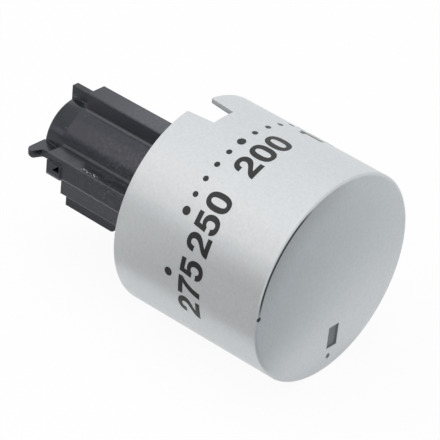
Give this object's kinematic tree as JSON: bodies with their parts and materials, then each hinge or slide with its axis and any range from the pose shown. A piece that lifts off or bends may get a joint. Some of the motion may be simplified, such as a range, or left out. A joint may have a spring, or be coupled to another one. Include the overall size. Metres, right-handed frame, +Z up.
{
  "type": "oven control knob",
  "caption": "Round silver oven temperature knob with a printed scale on its side, a notch in its rear rim and a black ribbed guide stem with snap barbs and a D-shaft socket.",
  "frame": {"origin": "centre of the mouth of the shaft bore, at the rear end of the stem", "axes": "+Y along the turning axis out of the rear of the knob, the way the shaft leaves; the face looks along -Y; +Z up, along the middle of the narrow top rib"},
  "size_m": [0.0406, 0.0634, 0.0405],
  "materials": {
    "silver_lacquer": "fine satin silver lacquer on moulded plastic, dark grey printed scale",
    "black_plastic": "satin moulded black plastic with a fine spark-eroded grain",
    "spring_steel": "plain rolled spring strip"
  },
  "bodies": {
    "root": {"knob_cap": "silver_lacquer", "guide_stem": "black_plastic", "shaft_spring": "spring_steel"}
  },
  "joints": []
}
